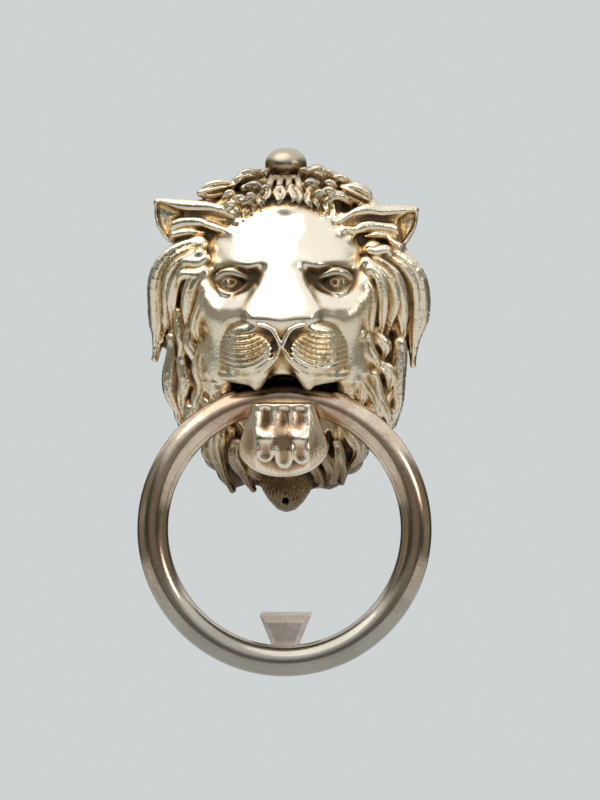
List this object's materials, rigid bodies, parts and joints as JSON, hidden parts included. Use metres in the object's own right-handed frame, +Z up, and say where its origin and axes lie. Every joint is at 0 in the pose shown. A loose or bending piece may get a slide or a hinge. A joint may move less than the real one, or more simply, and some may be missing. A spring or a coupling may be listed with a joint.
{
  "type": "door knocker",
  "caption": "Cast brass lion-head door knocker: a plain round ring hangs in the mouth over a hooked lower jaw and falls against a bevelled strike block.",
  "frame": {"origin": "on the door's face, midway between the mask's two fixing studs", "axes": "+Z up, +X to the right as seen from outside, -Y out from the door towards the visitor; the studs run along +Y into the door"},
  "size_m": [0.124, 0.1131, 0.224],
  "materials": {
    "polished_brass": "cast brass, polished on the high places with brown patina in the recesses",
    "worn_brass": "cast brass, hand-worn with brown patina",
    "ring_brass": "turned brass bar, polished by hands",
    "dull_brass": "cast brass, dull and unpolished",
    "nut_brass": "turned brass, bright",
    "steel": "zinc plated steel"
  },
  "bodies": {
    "head": {"lion_mask": "polished_brass", "lower_jaw": "worn_brass", "jaw_screw_left": "steel", "jaw_screw_right": "steel", "jaw_washer_left": "steel", "jaw_washer_right": "steel", "upper_fixing_stud": "steel", "lower_fixing_stud": "steel", "upper_lock_nut": "steel", "lower_lock_nut": "steel", "upper_washer": "steel", "lower_washer": "steel", "upper_dome_nut": "nut_brass", "lower_dome_nut": "nut_brass", "strike_block": "dull_brass", "strike_screw": "steel"},
    "ring": {"knocker_ring": "ring_brass"}
  },
  "joints": [
    {"name": "ring_swing", "type": "hinge", "parent": "head", "child": "ring", "pos_m": [0, -0.03, -0.0223], "axis": [-1, 0, 0], "range_deg": [0, 90]}
  ]
}
